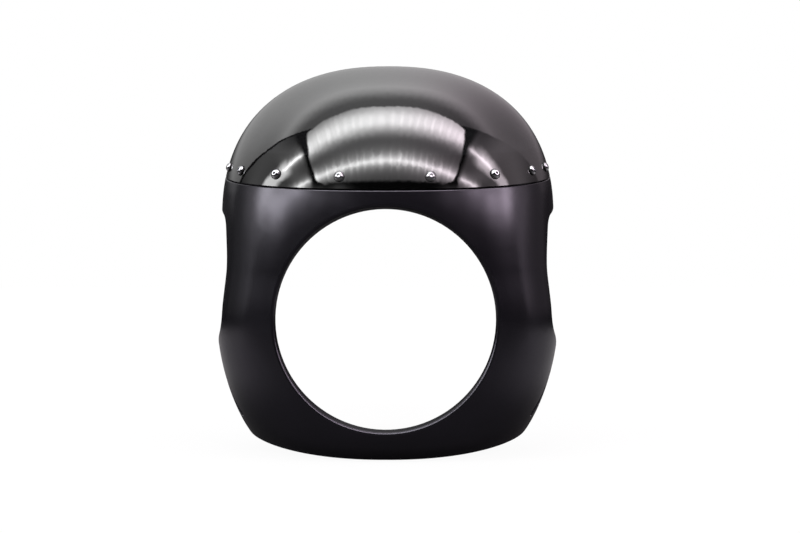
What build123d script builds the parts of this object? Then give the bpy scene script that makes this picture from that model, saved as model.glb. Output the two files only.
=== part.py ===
from build123d import *
import os
from math import copysign, cos, radians, sin, tan

# Headlight cowl for a round lamp: a moulded shell with a smoked screen screwed to it.
# Millimetres. X is to the right as seen from the front, Y runs to the rear and Z is up.
# The origin is the centre of the lamp opening.

# Lamp opening
lamp_opening_d = 180.0
lip_wall = 3.0
lip_rear_y = 20.0
lip_round = 2.0

# Walls
shell_wall = 3.0
screen_wall = 3.0
seat_gap = 0.2
flange_wall = 3.0

# Plan sections of the outer form: height, half width, nose position and squareness (2 is an ellipse)
back_y = 125.0
brow_z = 96.0
brow_half = 150.5
brow_nose_y = -10.0
brow_square = 2.3
cheek_z = 45.0
cheek_half = 150.5
cheek_nose_y = -8.0
cheek_square = 2.4
middle_z = 0.0
middle_half = 154.0
middle_nose_y = -5.0
middle_square = 2.55
jaw_z = -45.0
jaw_half = 148.0
jaw_nose_y = -1.0
jaw_square = 2.7
chin_z = -84.0
chin_half = 134.2
chin_nose_y = 3.0
chin_square = 2.7
heel_z = -108.0
heel_half = 119.0
heel_nose_y = 13.0
heel_square = 2.7
foot_z = -130.0
foot_half = 100.0
foot_nose_y = 36.0
foot_square = 2.6

# Lower edge in front view: a shallow arc, a round at each corner and a side line through one more point
under_z = -114.5
under_half = 122.0
under_corner_z = -100.5
under_side_half = 166.0
under_side_z = -45.5
under_round = 22.0

# Dome of the screen above the brow
dome_height = 132.2
dome_rake = 1.6

# Joint between shell and screen: a plane that starts above the brow and rises to the rear
joint_rise = 6.5
joint_slope = 11.0
joint_gap = 1.4
joint_round = 0.8
flange_height = 25.0
flange_tuck = 5.0
step_height = 8.0
step_wall = 7.0

# Rear edge in side view, as (y, z)
wing_top_y = 115.0
wing_top_z = 148.0
wing_tip_y = 99.0
wing_tip_z = 98.0
gap_top_y = 61.0
gap_top_z = 86.0
gap_front_y = 56.0
gap_front_z = 40.0
gap_low_y = 56.0
gap_low_z = -9.0
low_wing_y = 95.0
low_wing_z = -33.0
tail_y = 92.0
tail_z = -66.0
tail_low_y = 70.0
tail_low_z = -122.0
wing_tip_round = 12.0
gap_round = 14.0
gap_front_round = 60.0
gap_low_round = 20.0
low_wing_round = 12.0
tail_round = 40.0

# Free edge of the screen in side view
screen_low_y = 107.0
screen_low_z = 120.0
screen_top_y = 117.0
screen_top_z = 230.0

# Slot in each lower wing, in side view
slot_top_y = 82.0
slot_top_z = -50.0
slot_low_y = 58.0
slot_low_z = -82.0
slot_width = 6.0

# Screen fasteners: M4 button-head screws, each at a distance in from the side of the brow
screw_from_side = (114.2, 61.8, 27.8, 12.3)
screw_rise = 10.8
screw_d = 3.9
screw_length = 13.0
head_d = 7.6
head_height = 2.2
socket_across = 2.5
socket_depth = 1.3
washer_d = 8.8
washer_hole_d = 4.3
washer_thick = 0.8
screw_hole_d = 4.6
nut_across = 7.0
nut_height = 4.4
nut_flange_d = 9.6
nut_flange_thick = 1.0
nut_bore_d = 4.0
nut_seat_d = 10.4
nut_seat_depth = 5.8
head_edge = 0.4
head_flat_d = 3.6
seat_clear = 0.02

# Bosses and inserts for the bracket, set in from the narrower of cheek and middle
boss_from_side = 36.5
boss_low_z = 2.0
boss_high_z = 50.0
boss_d = 14.0
boss_rear_y = 46.0
insert_d = 8.0
insert_length = 11.0
insert_bore_d = 5.0
insert_clear = 0.03
insert_hole_spare = 2.0

# How the forms are built up: points and sections of the lofts, rear trims and the size of cutting sketches
plan_steps = 9
plan_reach = 108.0
body_levels = (0.0, 0.14, 0.28, 0.42)
fan_angles = (0.0, 12.0, 26.0, 40.0, 54.0, 68.0, 80.0, 90.0)
fan_reach = 86.0
outer_trim = 4.0
middle_trim = 3.0
inner_trim = 1.0
reach = 400.0

joint_nose_z = brow_z + joint_rise
screw_across = [brow_half - inward for inward in screw_from_side]
boss_x = min(cheek_half, middle_half) - boss_from_side


def plan_curve(half_width, nose_y, squareness):
    """Superellipse from past the left rear, round the nose, to past the right rear."""
    points = []
    for step in range(-plan_steps, plan_steps + 1):
        turn = radians(plan_reach * step / plan_steps)
        across = half_width * abs(sin(turn)) ** (2.0 / squareness)
        along = (back_y - nose_y) * abs(cos(turn)) ** (2.0 / squareness)
        points.append((copysign(across, step), back_y - copysign(along, cos(turn))))
    return points


def dome_curve(level, inset):
    """Level section of the dome, at a level between 0 (brow) and 1 (top)."""
    half_width = (brow_half - inset) * (1.0 - level**brow_square) ** (1.0 / brow_square)
    depth = back_y - brow_nose_y - inset
    points = []
    for step in range(-plan_steps, plan_steps + 1):
        turn = radians(plan_reach * step / plan_steps)
        across = half_width * abs(sin(turn))
        share = (1.0 - (across / (brow_half - inset)) ** brow_square) ** (1.0 / brow_square)
        along = depth * max(0.0, share**dome_rake - level**dome_rake) ** (1.0 / dome_rake)
        points.append((copysign(across, step), back_y - copysign(along, cos(turn))))
    return points


def fan_curve(angle, inset):
    """Section of the dome by a plane that holds its left to right axis, tilted up from level."""
    forward = (abs(cos(radians(angle))) / (back_y - brow_nose_y - inset)) ** dome_rake
    upward = (abs(sin(radians(angle))) / (dome_height - inset)) ** dome_rake
    radius = (forward + upward) ** (-1.0 / dome_rake)
    points = []
    for step in range(-plan_steps, plan_steps + 1):
        turn = radians(fan_reach * step / plan_steps)
        across = (brow_half - inset) * abs(sin(turn)) ** (2.0 / brow_square)
        points.append((copysign(across, step), radius * abs(cos(turn)) ** (2.0 / brow_square)))
    return points


def body_form(inset, trim):
    """Form of the shell up to above the joint, drawn in by the inset, its rear cut back by the trim."""
    stack = [
        (foot_z, plan_curve(foot_half - inset, foot_nose_y + inset, foot_square)),
        (heel_z, plan_curve(heel_half - inset, heel_nose_y + inset, heel_square)),
        (chin_z, plan_curve(chin_half - inset, chin_nose_y + inset, chin_square)),
        (jaw_z, plan_curve(jaw_half - inset, jaw_nose_y + inset, jaw_square)),
        (middle_z, plan_curve(middle_half - inset, middle_nose_y + inset, middle_square)),
        (cheek_z, plan_curve(cheek_half - inset, cheek_nose_y + inset, cheek_square)),
    ]
    for level in body_levels:
        stack.append((brow_z + (dome_height - inset) * level, dome_curve(level, inset)))
    with BuildPart() as form:
        for height, points in stack:
            with BuildSketch(Plane.XY.offset(height)):
                with BuildLine():
                    curve = Spline(*points)
                    Line(curve @ 1, curve @ 0)
                make_face()
        loft()
        with BuildSketch(Plane.XZ.offset(trim - back_y)):
            Rectangle(reach, 2.0 * reach)
        extrude(amount=-reach, mode=Mode.SUBTRACT)
    return form.part


def dome_wall(outer_inset, inner_inset):
    """Wall of the dome between two insets, lofted through sections fanned about its left to right axis."""
    with BuildPart() as dome:
        for angle in fan_angles:
            tilt = radians(angle)
            plane = Plane(
                origin=(0, back_y, brow_z),
                x_dir=(1, 0, 0),
                z_dir=(0, -sin(tilt), -cos(tilt)),
            )
            with BuildSketch(plane):
                with BuildLine():
                    outside = Spline(*fan_curve(angle, outer_inset))
                    inside = Spline(*fan_curve(angle, inner_inset))
                    Line(outside @ 0, inside @ 0)
                    Line(outside @ 1, inside @ 1)
                make_face()
        loft()
    return dome.part


def joint_plane(rise):
    """Plane parallel to the joint, at a rise above it, normal upwards."""
    return Plane(
        origin=(0, brow_nose_y, joint_nose_z + rise),
        x_dir=(1, 0, 0),
        z_dir=(0, -sin(radians(joint_slope)), cos(radians(joint_slope))),
    )


def dome_point(across, height):
    """Point on the outside of the dome, by its distance from the middle and its height."""
    share = (1.0 - (abs(across) / brow_half) ** brow_square) ** (1.0 / brow_square)
    level = (height - brow_z) / dome_height
    along = (back_y - brow_nose_y) * (share**dome_rake - level**dome_rake) ** (1.0 / dome_rake)
    return Vector(across, back_y - along, height)


def screw_plane(across):
    """Plane on the outside of the screen at a screw, normal outwards."""
    height = joint_nose_z + screw_rise
    for turn in range(20):
        point = dome_point(across, height)
        height = joint_nose_z + screw_rise + tan(radians(joint_slope)) * (point.Y - brow_nose_y)
    point = dome_point(across, height)
    sideways = dome_point(across + 0.05, height) - dome_point(across - 0.05, height)
    upwards = dome_point(across, height + 0.05) - dome_point(across, height - 0.05)
    return Plane(origin=point, x_dir=sideways, z_dir=sideways.cross(upwards))


screw_planes = [screw_plane(side * across) for across in screw_across for side in (-1, 1)]
slot_run = Vector(slot_top_y - slot_low_y, slot_top_z - slot_low_z)
screen_rake = (screen_top_y - screen_low_y) / (screen_top_z - screen_low_z)
insert_places = [(side * boss_x, height) for side in (-1, 1) for height in (boss_low_z, boss_high_z)]

outer = body_form(0.0, outer_trim)
inner = body_form(shell_wall, inner_trim)
wall_middle = body_form(shell_wall / 2.0, middle_trim)
step_inner = body_form(step_wall, inner_trim)
seat_inset = screen_wall + seat_gap
side_run = Vector(under_side_half - under_half, under_side_z - under_corner_z).normalized() * reach

# Turned-in lip round the lamp opening
with BuildPart() as lip:
    with BuildSketch(Plane.XZ.offset(-lip_rear_y)):
        Circle(lamp_opening_d / 2.0 + lip_wall)
    extrude(amount=lip_rear_y - 4.0 * brow_nose_y)
    add(outer, mode=Mode.INTERSECT)

# Step inside the shell along the joint, and the flange that stands on it behind the screen
with BuildPart() as step:
    add(wall_middle)
    add(step_inner, mode=Mode.SUBTRACT)
    with BuildSketch(joint_plane(-step_height)):
        Rectangle(2.0 * reach, 2.0 * reach)
    extrude(amount=-reach, mode=Mode.SUBTRACT)

with BuildPart() as flange:
    add(dome_wall(seat_inset, seat_inset + flange_wall))
    with BuildSketch(joint_plane(-flange_tuck)):
        Rectangle(2.0 * reach, 2.0 * reach)
    extrude(amount=flange_tuck + flange_height, mode=Mode.INTERSECT)

# Bosses inside the front wall, two a side
with BuildPart() as bosses:
    with BuildSketch(Plane.XZ.offset(-boss_rear_y)):
        with Locations(*insert_places):
            Circle(boss_d / 2.0)
    extrude(amount=boss_rear_y - 4.0 * brow_nose_y)
    add(wall_middle, mode=Mode.INTERSECT)

with BuildPart() as cowl_shell:
    add(outer)
    add(inner, mode=Mode.SUBTRACT)
    add(step.part)
    add(lip.part)
    add(bosses.part)
    with BuildSketch(joint_plane(0.0)):
        Rectangle(2.0 * reach, 2.0 * reach)
    extrude(amount=reach, mode=Mode.SUBTRACT)
    joint_faces = cowl_shell.faces().filter_by(joint_plane(0.0))
    joint_face = joint_faces.sort_by_distance(joint_plane(0.0).origin)[0]
    fillet(joint_face.edges().sort_by(SortBy.LENGTH)[-1], joint_round)
    add(flange.part)
    with BuildSketch(Plane.XZ.offset(-lip_rear_y)):
        Circle(lamp_opening_d / 2.0)
    extrude(amount=reach, both=True, mode=Mode.SUBTRACT)
    bore = cowl_shell.faces().filter_by(GeomType.CYLINDER).sort_by(SortBy.AREA)[-1]
    fillet(bore.edges().filter_by(GeomType.BSPLINE), lip_round)
    with BuildSketch(Plane.XZ):
        with BuildLine():
            lower_edge = ThreePointArc(
                (-under_half, under_corner_z), (0, under_z), (under_half, under_corner_z)
            )
            Polyline(
                lower_edge @ 1,
                (under_half + side_run.X, under_corner_z + side_run.Y),
                (under_half + side_run.X, reach),
                (-under_half - side_run.X, reach),
                (-under_half - side_run.X, under_corner_z + side_run.Y),
                lower_edge @ 0,
            )
        outline = make_face()
        fillet(outline.vertices().group_by(Axis.Y)[0], under_round)
    extrude(amount=reach, both=True, mode=Mode.INTERSECT)
    with BuildSketch(Plane.YZ):
        with BuildLine():
            rear_edge = FilletPolyline(
                (wing_top_y, wing_top_z),
                (wing_tip_y, wing_tip_z),
                (gap_top_y, gap_top_z),
                (gap_front_y, gap_front_z),
                (gap_low_y, gap_low_z),
                (low_wing_y, low_wing_z),
                (tail_y, tail_z),
                (tail_low_y, tail_low_z),
                radius=[wing_tip_round, gap_round, gap_front_round, gap_low_round, low_wing_round, tail_round],
            )
            Polyline(
                rear_edge @ 1,
                (2.0 * back_y, tail_low_z),
                (2.0 * back_y, wing_top_z),
                rear_edge @ 0,
            )
        make_face()
    extrude(amount=reach, both=True, mode=Mode.SUBTRACT)
    with BuildSketch(Plane.YZ):
        with Locations(((slot_top_y + slot_low_y) / 2.0, (slot_top_z + slot_low_z) / 2.0)):
            SlotCenterToCenter(slot_run.length, slot_width, rotation=slot_run.get_angle(Vector(1, 0)))
    extrude(amount=reach, both=True, mode=Mode.SUBTRACT)
    with BuildSketch(Plane.XZ.offset(-boss_rear_y)):
        with Locations(*insert_places):
            Circle(insert_d / 2.0 + insert_clear)
    extrude(amount=insert_length + insert_hole_spare, mode=Mode.SUBTRACT)
    for plane in screw_planes:
        with BuildSketch(plane):
            Circle(screw_hole_d / 2.0)
        extrude(amount=-3.0 * nut_seat_depth, mode=Mode.SUBTRACT)
        with BuildSketch(plane.offset(-nut_seat_depth)):
            Circle(nut_seat_d / 2.0)
        extrude(amount=-nut_seat_depth, mode=Mode.SUBTRACT)
cowl_shell.part.label = "cowl_shell"

with BuildPart() as windscreen:
    add(dome_wall(0.0, screen_wall))
    with BuildSketch(joint_plane(joint_gap)):
        Rectangle(2.0 * reach, 2.0 * reach)
    extrude(amount=-reach, mode=Mode.SUBTRACT)
    with BuildSketch(Plane.YZ):
        with BuildLine():
            Polyline(
                (screen_low_y - screen_rake * screen_low_z, 0.0),
                (screen_low_y + screen_rake * (reach - screen_low_z), reach),
                (2.0 * reach, reach),
                (2.0 * reach, 0.0),
                close=True,
            )
        make_face()
    extrude(amount=reach, both=True, mode=Mode.SUBTRACT)
    for plane in screw_planes:
        with BuildSketch(plane.offset(screen_wall)):
            Circle(screw_hole_d / 2.0)
        extrude(amount=-4.0 * screen_wall, mode=Mode.SUBTRACT)
windscreen.part.label = "windscreen"

# One screw, washer and nut, each on its seat at the origin with the screen below
with BuildPart() as screw:
    with BuildSketch(Plane.XZ):
        with BuildLine():
            rim = Line((head_d / 2.0, 0.0), (head_d / 2.0, head_edge))
            dome = TangentArc(rim @ 1, (head_flat_d / 2.0, head_height), tangent=(-0.5, 1.0))
            Polyline(
                dome @ 1,
                (0.0, head_height),
                (0.0, -screw_length),
                (screw_d / 2.0, -screw_length),
                (screw_d / 2.0, 0.0),
                rim @ 0,
            )
        make_face()
    revolve(axis=Axis.Z)
    with BuildSketch(Plane.XY.offset(head_height)):
        RegularPolygon(socket_across / 2.0, 6, major_radius=False)
    extrude(amount=-socket_depth, mode=Mode.SUBTRACT)

with BuildPart() as washer:
    with BuildSketch():
        Circle(washer_d / 2.0)
        Circle(washer_hole_d / 2.0, mode=Mode.SUBTRACT)
    extrude(amount=washer_thick)

with BuildPart() as nut:
    with BuildSketch():
        Circle(nut_flange_d / 2.0)
    extrude(amount=-nut_flange_thick)
    with BuildSketch():
        RegularPolygon(nut_across / 2.0, 6, major_radius=False)
    extrude(amount=-nut_height)
    with BuildSketch():
        Circle(nut_bore_d / 2.0)
    extrude(amount=-nut_height, mode=Mode.SUBTRACT)

with BuildPart() as screen_washers:
    with Locations(*[plane.offset(seat_clear).location for plane in screw_planes]):
        add(washer.part)
screen_washers.part.label = "screen_washers"

with BuildPart() as screen_screws:
    with Locations(*[plane.offset(seat_clear + washer_thick).location for plane in screw_planes]):
        add(screw.part)
screen_screws.part.label = "screen_screws"

with BuildPart() as screen_nuts:
    with Locations(*[plane.offset(-nut_seat_depth).location for plane in screw_planes]):
        add(nut.part)
screen_nuts.part.label = "screen_nuts"

# Threaded inserts, flush with the ends of the bosses
with BuildPart() as mount_inserts:
    with BuildSketch(Plane.XZ.offset(-boss_rear_y)):
        with Locations(*insert_places):
            Circle(insert_d / 2.0)
            Circle(insert_bore_d / 2.0, mode=Mode.SUBTRACT)
    extrude(amount=insert_length)
mount_inserts.part.label = "mount_inserts"

os.makedirs("parts", exist_ok=True)
export_step(cowl_shell.part, "parts/cowl_shell.step")
export_step(windscreen.part, "parts/windscreen.step")
export_step(screen_screws.part, "parts/screen_screws.step")
export_step(screen_washers.part, "parts/screen_washers.step")
export_step(screen_nuts.part, "parts/screen_nuts.step")
export_step(mount_inserts.part, "parts/mount_inserts.step")
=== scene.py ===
import math
import bpy
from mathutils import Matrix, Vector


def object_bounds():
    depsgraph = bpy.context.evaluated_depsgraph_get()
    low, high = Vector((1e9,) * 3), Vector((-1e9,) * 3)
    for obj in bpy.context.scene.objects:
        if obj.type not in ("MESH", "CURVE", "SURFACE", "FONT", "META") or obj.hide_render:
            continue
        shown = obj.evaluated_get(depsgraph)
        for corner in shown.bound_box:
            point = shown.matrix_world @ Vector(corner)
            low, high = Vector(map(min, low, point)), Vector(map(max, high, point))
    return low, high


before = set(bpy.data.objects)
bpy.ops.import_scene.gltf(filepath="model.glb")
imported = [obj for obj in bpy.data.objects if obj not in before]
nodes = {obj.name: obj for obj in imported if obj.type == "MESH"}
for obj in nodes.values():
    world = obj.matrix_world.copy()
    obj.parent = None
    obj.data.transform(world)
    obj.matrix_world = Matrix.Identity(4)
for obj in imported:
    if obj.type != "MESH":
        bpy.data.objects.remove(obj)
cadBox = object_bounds()
print("frame loaded:", ", ".join(sorted(nodes)))

white = (1.0, 1.0, 1.0, 1.0)


class Wire:  # one socket of a node tree; arithmetic on wires and numbers adds Math nodes
    def __init__(self, tree, socket=None):
        self.tree = tree
        self.socket = socket

    # any node: its type, its settings, which are set first, then values or wires for its sockets
    def make(self, kind, settings=None, sockets=None, out=0):
        node = self.tree.nodes.new("ShaderNode" + kind)
        for name, value in (settings or {}).items():
            setattr(node, name, value)
        for name, value in (sockets or {}).items():
            if isinstance(value, Wire):
                self.tree.links.new(value.socket, node.inputs[name])
            else:
                node.inputs[name].default_value = value
        return Wire(self.tree, node.outputs[out] if node.outputs else None)

    def other(self, out):  # another output of the same node
        return Wire(self.tree, self.socket.node.outputs[out])

    def math(self, operation, *values):
        return self.make("Math", {"operation": operation}, dict(enumerate(values)))

    def __add__(self, other):
        return self.math("ADD", self, other)

    def __sub__(self, other):
        return self.math("SUBTRACT", self, other)

    def __rsub__(self, other):
        return self.math("SUBTRACT", other, self)

    def __mul__(self, other):
        return self.math("MULTIPLY", self, other)

    def __truediv__(self, other):
        return self.math("DIVIDE", self, other)

    def __rtruediv__(self, other):
        return self.math("DIVIDE", other, self)

    def __abs__(self):
        return self.math("ABSOLUTE", self)

    __radd__ = __add__
    __rmul__ = __mul__

    def root(self):
        return self.math("SQRT", self)

    def power(self):  # e to the power of this value
        return self.math("EXPONENT", self)

    def least(self, limit):  # this value, or the limit where the value is below it
        return self.math("MAXIMUM", self, limit)

    def most(self, limit):  # this value, or the limit where the value is above it
        return self.math("MINIMUM", self, limit)

    def step(self, low, high):  # smooth 0 to 1 from low to high, or 1 to 0 where high is below low
        soft = {"interpolation_type": "SMOOTHSTEP"}
        return self.make("MapRange", soft, {"Value": self, "From Min": low, "From Max": high})

    def hump(self, width):  # 1 at zero and a half at the width: 1 / (1 + (value / width) squared)
        share = self / width
        return 1.0 / (share * share + 1.0)

    def bell(self, width):  # 1 at zero, falling fast: e to the power of -(value / width) squared
        share = self / width
        return (share * share * -1.0).power()

    def sag(self, start):  # 0 at zero, bending into a straight slope: a hyperbola
        return (self * self + start * start).root() - start

    def mix(self, first, second):  # the first colour where this wire is 0, the second where it is 1
        return self.make("Mix", {"data_type": "RGBA"}, {0: self, 6: first, 7: second}, out=2)


def axes(start, coordinates):  # the three parts of a place or a direction
    place = start.make("TexCoord", out=coordinates)
    across = start.make("SeparateXYZ", None, {0: place}, out="X")
    return across, across.other("Y"), across.other("Z")


def shownRays(start):  # 1 for what the camera sees, also through the screen, and 0 for light
    path = start.make("LightPath", out="Is Camera Ray")
    return path.least(path.other("Is Transmission Ray"))


def newMaterial(name):  # a material with an empty node tree, and a wire to start from
    material = bpy.data.materials.new(name)
    material.use_nodes = True
    material.node_tree.nodes.clear()
    return material, Wire(material.node_tree)


def dress(material, start, sockets, node):  # Principled shader with these sockets, put on a node
    shader = start.make("BsdfPrincipled", None, sockets)
    start.make("OutputMaterial", None, {"Surface": shader})
    nodes[node].data.materials.clear()
    nodes[node].data.materials.append(material)


def grain(start, scale, detail):  # noise over Object coordinates, about 0.5
    place = start.make("TexCoord", out="Object")
    return start.make("TexNoise", None, {"Vector": place, "Scale": scale, "Detail": detail})


def spread(noise, look):  # the roughness of a look, a little uneven
    return look["roughness"] + (noise - 0.5) * look["roughnessSpread"]


def bumped(start, height, depth):  # Bump node: height times depth, in metres
    return start.make("Bump", None, {"Height": height, "Distance": depth, "Strength": 1.0})


shellLook = {
    "dark": (0.0040, 0.0038, 0.0052, 1.0),
    "light": (0.0058, 0.0054, 0.0076, 1.0),
    "cloud": (22.0, 5.0),  # scale and detail of a noise
    "cloudRange": (0.3, 0.7),
    "sheen": (0.90, 0.86, 1.0, 1.0),
    "roughness": 0.205,
    "roughnessSpread": 0.05,
    "grain": (1500.0, 1.0),
    "grainDepth": 0.00001,
    "cheekDepth": 0.0035,
    "cheekPlace": (0.105, 0.04),  # heights between which the cheeks are shaded as leaning back
}


def shellPlastic():
    look = shellLook
    material, start = newMaterial("shellPlastic")
    cloudy = grain(start, *look["cloud"])
    fine = grain(start, *look["grain"])
    height = axes(start, "Object")[2]
    cheek = height.step(*look["cheekPlace"]) * look["cheekDepth"]
    sockets = {
        "Base Color": cloudy.step(*look["cloudRange"]).mix(look["dark"], look["light"]),
        "Roughness": spread(cloudy, look),
        "Normal": bumped(start, fine * look["grainDepth"] + cheek, 1.0),
        "IOR": 1.5,
        "Specular IOR Level": 1.0,
        "Specular Tint": look["sheen"],
    }
    dress(material, start, sockets, "cowl_shell")


screenLook = {
    "dark": (0.006, 0.006, 0.0066, 1.0),
    "light": (0.009, 0.009, 0.0098, 1.0),
    "cloud": (9.0, 3.0),
    "cloudRange": (0.3, 0.7),
    "smudge": (60.0, 4.0),
    "roughness": 0.035,
    "roughnessSpread": 0.03,
    "wave": (16.0, 0.0),
    "waveDepth": 0.00002,
}


def smokedScreen():
    look = screenLook
    material, start = newMaterial("smokedScreen")
    cloudy = grain(start, *look["cloud"])
    smudge = grain(start, *look["smudge"])
    wave = grain(start, *look["wave"])
    sockets = {
        "Base Color": cloudy.step(*look["cloudRange"]).mix(look["dark"], look["light"]),
        "Roughness": spread(smudge, look),
        "Normal": bumped(start, wave, look["waveDepth"]),
        "IOR": 1.585,
        "Transmission Weight": 1.0,
        "Coat Weight": 1.0,
        "Coat Roughness": look["roughness"],
    }
    dress(material, start, sockets, "windscreen")


washerLook = {
    "dark": (0.006, 0.006, 0.006, 1.0),
    "light": (0.012, 0.012, 0.012, 1.0),
    "cloud": (300.0, 3.0),
    "cloudRange": (0.3, 0.7),
    "roughness": 0.48,
    "roughnessSpread": 0.1,
    "grain": (1800.0, 1.0),
    "grainDepth": 0.00001,
}


def nylon():
    look = washerLook
    material, start = newMaterial("blackNylon")
    cloudy = grain(start, *look["cloud"])
    fine = grain(start, *look["grain"])
    sockets = {
        "Base Color": cloudy.step(*look["cloudRange"]).mix(look["dark"], look["light"]),
        "Roughness": spread(cloudy, look),
        "Normal": bumped(start, fine, look["grainDepth"]),
    }
    dress(material, start, sockets, "screen_washers")


screwLook = {
    "bright": (0.66, 0.66, 0.68, 1.0),
    "dull": (0.50, 0.50, 0.53, 1.0),
    "roughness": 0.13,
    "roughnessSpread": 0.12,
    "grain": (2600.0, 1.0),
    "grainDepth": 0.000004,
}
nutLook = {
    "bright": (0.55, 0.55, 0.57, 1.0),
    "dull": (0.40, 0.40, 0.41, 1.0),
    "roughness": 0.34,
    "roughnessSpread": 0.12,
    "grain": (1800.0, 1.0),
    "grainDepth": 0.000010,
}
insertLook = {
    "bright": (0.70, 0.49, 0.22, 1.0),
    "dull": (0.50, 0.33, 0.13, 1.0),
    "roughness": 0.30,
    "roughnessSpread": 0.12,
    "grain": (1800.0, 1.0),
    "grainDepth": 0.000010,
}
metalCloud = {"cloud": (420.0, 4.0), "range": (0.35, 0.65)}  # the same on all three metals


def metal(node, look):
    material, start = newMaterial(node + "_metal")
    cloudy = grain(start, *metalCloud["cloud"])
    fine = grain(start, *look["grain"])
    sockets = {
        "Base Color": cloudy.step(*metalCloud["range"]).mix(look["bright"], look["dull"]),
        "Metallic": 1.0,
        "Roughness": spread(cloudy, look),
        "Normal": bumped(start, fine, look["grainDepth"]),
    }
    dress(material, start, sockets, node)


shellPlastic()
smokedScreen()
nylon()
metal("screen_screws", screwLook)
metal("screen_nuts", nutLook)
metal("mount_inserts", insertLook)
print("materials on", len(nodes), "nodes")

# Studio: a light box round the object, which the screen mirrors. A direction is told by two angles
# in degrees: up, from the front over the top (90) to the back (180), and side, towards the right.
# Pairs of angles are the start and the end of a soft step.
ceiling = {  # panel overhead
    "middle": -1.25,
    "half": 30.6,  # half its width, at the up angle where it is widest
    "widest": 57.0,
    "taper": 0.0034,
    "corner": 42.0,  # below this up angle its front corners are rounded off
    "cornerRound": 0.06,
    "foot": (33.0, 38.0),
    "top": 96.2,
    "bow": 0.0105,  # how its rear edge hangs down to the sides
    "sideBlur": 0.6,
    "topBlur": 0.8,
    "level": 0.22,
}
rearStrip = {  # rows of lamps on the panel
    "up": 85.0,
    "behind": 10.0,
    "ahead": 7.2,
    "level": 7.0,
    "sagStart": 7.0,
    "sagLeft": 0.45,
    "sagRight": 0.2,
    "tickWidth": 9.36,
    "tickMiddle": 0.35,
    "tickShare": 0.13,
}
frontStrip = {
    "up": 54.8,
    "width": 3.5,
    "level": 7.6,
    "sagStart": 5.0,
    "sag": 0.41,
    "uneven": 0.12,
    "tickWidth": 6.0,
    "tickShare": 0.28,
}
lampRow = {
    "pitch": 2.35,
    "double": 22.9,  # the side angle at which the pitch has doubled
    "sharp": 3.0,
    "noiseScale": 0.6,
    "noiseDetail": 2.0,
}
sideWall = {
    "begin": (33.0, 36.5),
    "rightSooner": 3.0,
    "grow": (33.0, 46.0),
    "level": 0.36,
    "levelRight": 0.12,
    "foot": (38.0, 55.0),
    "fade": (95.0, 150.0),
    "fadeShare": 0.8,
}
streak = {  # the rear strip, repeated by the lining of the side walls
    "up": 85.0,
    "slant": 0.3,
    "leftLower": 3.0,
    "width": 1.8,
    "end": (52.0, 45.0),
    "left": 11.0,
    "right": 6.5,
}
streakZone = {  # glow round the streak, further out
    "begin": 34.0,
    "leftLater": 8.0,
    "blur": 7.0,
    "bottom": (-14.0, -5.0),
    "top": (-12.0, -3.0),
    "leftRise": 0.7,
    "leftRiseFrom": 50.0,
    "end": (71.0, 62.0),
    "level": 4.8,
    "rightLess": 0.3,
}
shortStreak = {"width": 2.6, "end": (52.0, 40.0), "level": 8.0}  # the front strip, repeated
backWall = {
    "level": 0.54,
    "edge": 0.5,
    "foot": 0.8,
    "rise": (4.5, 17.5),  # angles behind the panel
    "riseShare": 1.9,
    "fallFrom": 19.0,
    "fall": 0.055,
    "horizon": (158.0, 170.0),
    "horizonLess": 0.93,
    "right": (0.0, 34.0),
    "rightLess": 0.47,
    "farRight": (38.0, 50.0),
    "farRightMore": 0.15,
    "left": (-14.0, -46.0),
    "leftLess": 0.1,
    "leftHigh": (104.0, 130.0),
    "leftHighMore": 0.35,
    "end": 51.5,  # side angle where it meets the side walls, further out on the left
    "endLeft": 6.5,
    "endCurve": 37.0,
    "endFrom": 87.0,
    "endFade": 14.4,
    "endBlur": 0.9,
    "seam": (1.7, 0.7),
    "seamFoot": (80.0, 90.0),
}
softLamps = [  # in front and far out: side, up, width, brightness
    (-77.0, 122.0, 9.0, 0.22),
    (-72.0, 62.0, 5.0, 4.2),
    (-68.0, 46.0, 5.0, 1.7),
    (-64.0, 38.0, 5.0, 3.5),
    (-60.0, 30.0, 5.0, 2.2),
    (-56.0, 34.0, 5.0, 2.3),
    (-52.0, 34.0, 5.0, 2.6),
    (-44.0, 34.0, 5.0, 3.6),
    (-32.0, 26.0, 5.0, 1.0),
    (-20.0, 26.0, 5.0, 0.65),
    (28.0, 26.0, 5.0, 0.65),
    (44.0, 30.0, 5.0, 1.4),
    (56.0, 34.0, 5.0, 4.3),
    (64.0, 38.0, 5.0, 1.7),
    (68.0, 50.0, 5.0, 5.0),
    (77.0, 122.0, 9.0, 0.15),
]
studio = {
    "dim": 0.012,  # level of the rest of the room
    "turnover": 12.0,  # left and right blend over this angle to either side
    "tintPlace": (-10.0, 30.0),
    "tintRight": (1.05, 0.92, 1.0, 1.0),
}


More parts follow.
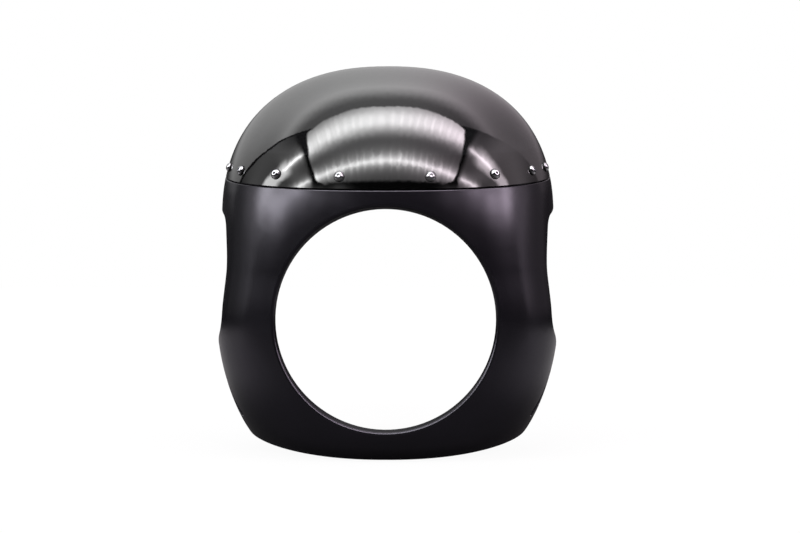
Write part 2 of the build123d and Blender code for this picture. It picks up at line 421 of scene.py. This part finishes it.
def lampRows(start, side, left, up, fromFront):  # brightness of the panel with its two strips
    turns = side.math("ARCTANGENT", side / lampRow["double"])
    turns = turns * (2.0 * math.pi * lampRow["double"] / lampRow["pitch"])
    tick = side.math("POWER", turns.math("COSINE", turns) * 0.5 + 0.5, lampRow["sharp"])
    noise = {"W": side, "Scale": lampRow["noiseScale"], "Detail": lampRow["noiseDetail"]}
    uneven = (start.make("TexNoise", {"noise_dimensions": "1D"}, noise) - 0.5) * 2.0
    tick = tick * (uneven + 1.0)

    strip = rearStrip
    sag = left * (strip["sagLeft"] - strip["sagRight"]) + strip["sagRight"]
    fromRear = up - strip["up"] + side.sag(strip["sagStart"]) * sag
    rear = fromRear.least(0.0).bell(strip["behind"]) * fromRear.most(0.0).bell(strip["ahead"])
    ticks = (uneven + tick - strip["tickMiddle"]) * fromRear.bell(strip["tickWidth"])
    rear = rear * strip["level"] * (1.0 + ticks * strip["tickShare"])

    strip = frontStrip
    front = fromFront.hump(strip["width"]) * (1.0 + uneven * strip["uneven"])
    front = front + tick * fromFront.bell(strip["tickWidth"]) * strip["tickShare"]
    return rear + front * strip["level"] + ceiling["level"]


def ceilingShape(side, up, fromTop):  # 1 inside the panel's outline and 0 outside
    fromWidest = up - ceiling["widest"]
    corner = (ceiling["corner"] - up).least(0.0)
    half = ceiling["half"] - fromWidest * fromWidest * ceiling["taper"]
    half = half - corner * corner * ceiling["cornerRound"]
    beyond = abs(side - ceiling["middle"]) - half
    inside = beyond.step(ceiling["sideBlur"], -ceiling["sideBlur"])
    inside = inside * fromTop.step(ceiling["topBlur"], -ceiling["topBlur"])
    return inside * up.step(*ceiling["foot"])


def sideWalls(reach, left, up, fromFront):  # brighter far out, where the lining repeats the strips
    right = 1.0 - left
    begun = (reach + right * sideWall["rightSooner"]).step(*sideWall["begin"])
    wall = reach.step(*sideWall["grow"]) * sideWall["level"]
    wall = wall + begun * right * sideWall["levelRight"]
    wall = wall * up.step(*sideWall["foot"])
    wall = wall * (1.0 - up.step(*sideWall["fade"]) * sideWall["fadeShare"])

    fromStreak = up - streak["up"] + reach * streak["slant"] + left * streak["leftLower"]
    core = begun * reach.step(*streak["end"]) * fromStreak.hump(streak["width"])
    core = core * (left * (streak["left"] - streak["right"]) + streak["right"])

    zone = reach - streakZone["begin"] - left * streakZone["leftLater"]
    zone = zone.step(0.0, streakZone["blur"])
    rise = (reach - streakZone["leftRiseFrom"]).least(0.0) * left * streakZone["leftRise"]
    zone = zone * (rise - fromStreak).step(*streakZone["top"])
    zone = zone * fromStreak.step(*streakZone["bottom"]) * reach.step(*streakZone["end"])
    zone = zone * streakZone["level"] * (1.0 - right * streakZone["rightLess"])

    short = begun * reach.step(*shortStreak["end"]) * fromFront.hump(shortStreak["width"])
    return wall + core + zone + short * shortStreak["level"]


def backOfRoom(side, up, fromTop):  # brightest just behind the panel
    wall = backWall
    rising = fromTop.step(*wall["rise"]) * wall["riseShare"] + wall["foot"]
    falling = 1.0 / ((fromTop - wall["fallFrom"]).least(0.0) * wall["fall"] + 1.0)
    back = rising * falling * fromTop.step(-wall["edge"], wall["edge"]) * wall["level"]
    back = back * (1.0 - up.step(*wall["horizon"]) * wall["horizonLess"])
    toRight = side.step(*wall["farRight"]) * wall["farRightMore"]
    back = back * (1.0 - side.step(*wall["right"]) * wall["rightLess"] + toRight)
    toLeft = up.step(*wall["leftHigh"]) * wall["leftHighMore"] - wall["leftLess"]
    return back * (1.0 + side.step(*wall["left"]) * toLeft)


def lampGlow(across, along, height):  # round soft lamps, fading with the angle from their middle
    glow = 0.0
    for side, up, width, level in softLamps:
        sharp = 1.0 / (1.0 - math.cos(math.radians(width)))
        flat = math.cos(math.radians(side))
        aimAcross = math.sin(math.radians(side))
        aimAlong = -flat * math.cos(math.radians(up))
        aimHeight = flat * math.sin(math.radians(up))
        away = across * aimAcross + along * aimAlong + height * aimHeight - 1.0
        glow = glow + (away * sharp).power() * level
    return glow


def lightBox(start):  # brightness of the studio by direction, and the side angle
    across, along, height = axes(start, "Generated")
    up = across.math("ARCTAN2", height, 0.0 - along) * math.degrees(1.0)
    side = across.math("ARCSINE", across) * math.degrees(1.0)
    reach = abs(side)
    left = side.step(studio["turnover"], -studio["turnover"])
    fromFront = up - frontStrip["up"] + side.sag(frontStrip["sagStart"]) * frontStrip["sag"]
    fromTop = up - ceiling["top"] + side * side * ceiling["bow"]

    # the back wall ends at a curve, with a dark seam on the left
    curve = ((backWall["endFrom"] - up) / backWall["endFade"]).power() * backWall["endCurve"]
    fromEnd = reach - (backWall["end"] + left * backWall["endLeft"] - curve)
    behind = fromEnd.step(backWall["endBlur"], -backWall["endBlur"])
    seam = 1.0 - abs(fromEnd).step(*backWall["seam"]) * left * up.step(*backWall["seamFoot"])
    room = behind * backOfRoom(side, up, fromTop)
    room = (room + (1.0 - behind) * sideWalls(reach, left, up, fromFront)) * seam
    room = room + lampGlow(across, along, height)

    inside = ceilingShape(side, up, fromTop)
    panel = lampRows(start, side, left, up, fromFront)
    return inside * panel + (1.0 - inside) * room + studio["dim"], side


def buildWorld():  # white for the camera and through the screen, the light box for all else
    world = bpy.data.worlds.new("lightBox")
    world.use_nodes = True
    world.node_tree.nodes.clear()
    start = Wire(world.node_tree)
    level, side = lightBox(start)
    tint = side.step(*studio["tintPlace"]).mix(white, studio["tintRight"])
    room = start.make("Background", None, {"Color": tint, "Strength": level})
    plain = start.make("Background", None, {"Color": white, "Strength": 1.0})
    both = start.make("MixShader", None, {0: shownRays(start), 1: room, 2: plain})
    start.make("OutputWorld", None, {"Surface": both})
    bpy.context.scene.world = world


floorLook = {
    "half": 6.0,
    "shown": 0.93,  # share of plain white that the camera sees; the rest takes the shadow
    "paper": 0.75,
    # painted shade: the floor's colour for all but camera rays, dark near the object so its lower
    # front reflects shade
    "paintedShade": 0.055,
    "paintedLight": 0.15,  # painted light: a paler band on either side of the painted shade, seen only in reflections and bounced light
    "paintedLightPlace": (0.15, 0.36),
    "paintedLightFront": (-0.30, 0.15),
    "reach": (1.7, 1.2),
}


def buildFloor():  # the camera sees white paper; for all other rays the floor is painted: painted shade where the object stands, between two paler bands of painted light
    look = floorLook
    low = cadBox[0].z
    half = look["half"]
    corners = [(-half, -half, low), (half, -half, low), (half, half, low), (-half, half, low)]
    mesh = bpy.data.meshes.new("floor")
    mesh.from_pydata(corners, [], [(0, 1, 2, 3)])
    floor = bpy.data.objects.new("floor", mesh)
    bpy.context.scene.collection.objects.link(floor)
    material, start = newMaterial("paper")
    across, along = axes(start, "Object")[:2]
    seen = shownRays(start)
    # all but camera rays see painted shade near the object, with a band of painted light on either
    # side, fading to black far off
    near = (across * across + along * along).root().step(*look["reach"])
    paintedLight = abs(across).step(*look["paintedLightPlace"]) * along.step(*look["paintedLightFront"]) * look["paintedLight"]
    paintedShade = near * (paintedLight + look["paintedShade"])
    level = seen * look["paper"] + (1.0 - seen) * paintedShade
    grey = start.make("CombineColor", None, {0: level, 1: level, 2: level})
    paper = start.make("BsdfDiffuse", None, {"Color": grey})
    plain = start.make("Emission", None, {"Color": white, "Strength": 1.0})
    both = start.make("MixShader", None, {0: seen * look["shown"], 1: paper, 2: plain})
    start.make("OutputMaterial", None, {"Surface": both})
    mesh.materials.append(material)


view = {
    "distance": 0.75,
    "height": 0.0432,
    "aside": 0.01193,
    "turn": 0.5,
    "focalPixels": 943.4,
    "imagePixels": 800.0,
    "sensorWidth": 36.0,
}


def buildCamera():
    data = bpy.data.cameras.new("camera")
    data.sensor_width = view["sensorWidth"]
    data.lens = view["focalPixels"] / view["imagePixels"] * view["sensorWidth"]
    data.clip_start = 0.01
    camera = bpy.data.objects.new("camera", data)
    turn = math.radians(view["turn"])
    camera.location = (
        view["aside"] + view["distance"] * math.tan(turn),
        -view["distance"],
        view["height"],
    )
    camera.rotation_euler = (math.pi / 2.0, 0.0, turn)
    bpy.context.scene.collection.objects.link(camera)
    bpy.context.scene.camera = camera


buildWorld()
buildFloor()
buildCamera()
bpy.context.scene.view_settings.view_transform = "Standard"
print("studio, floor and camera ready")
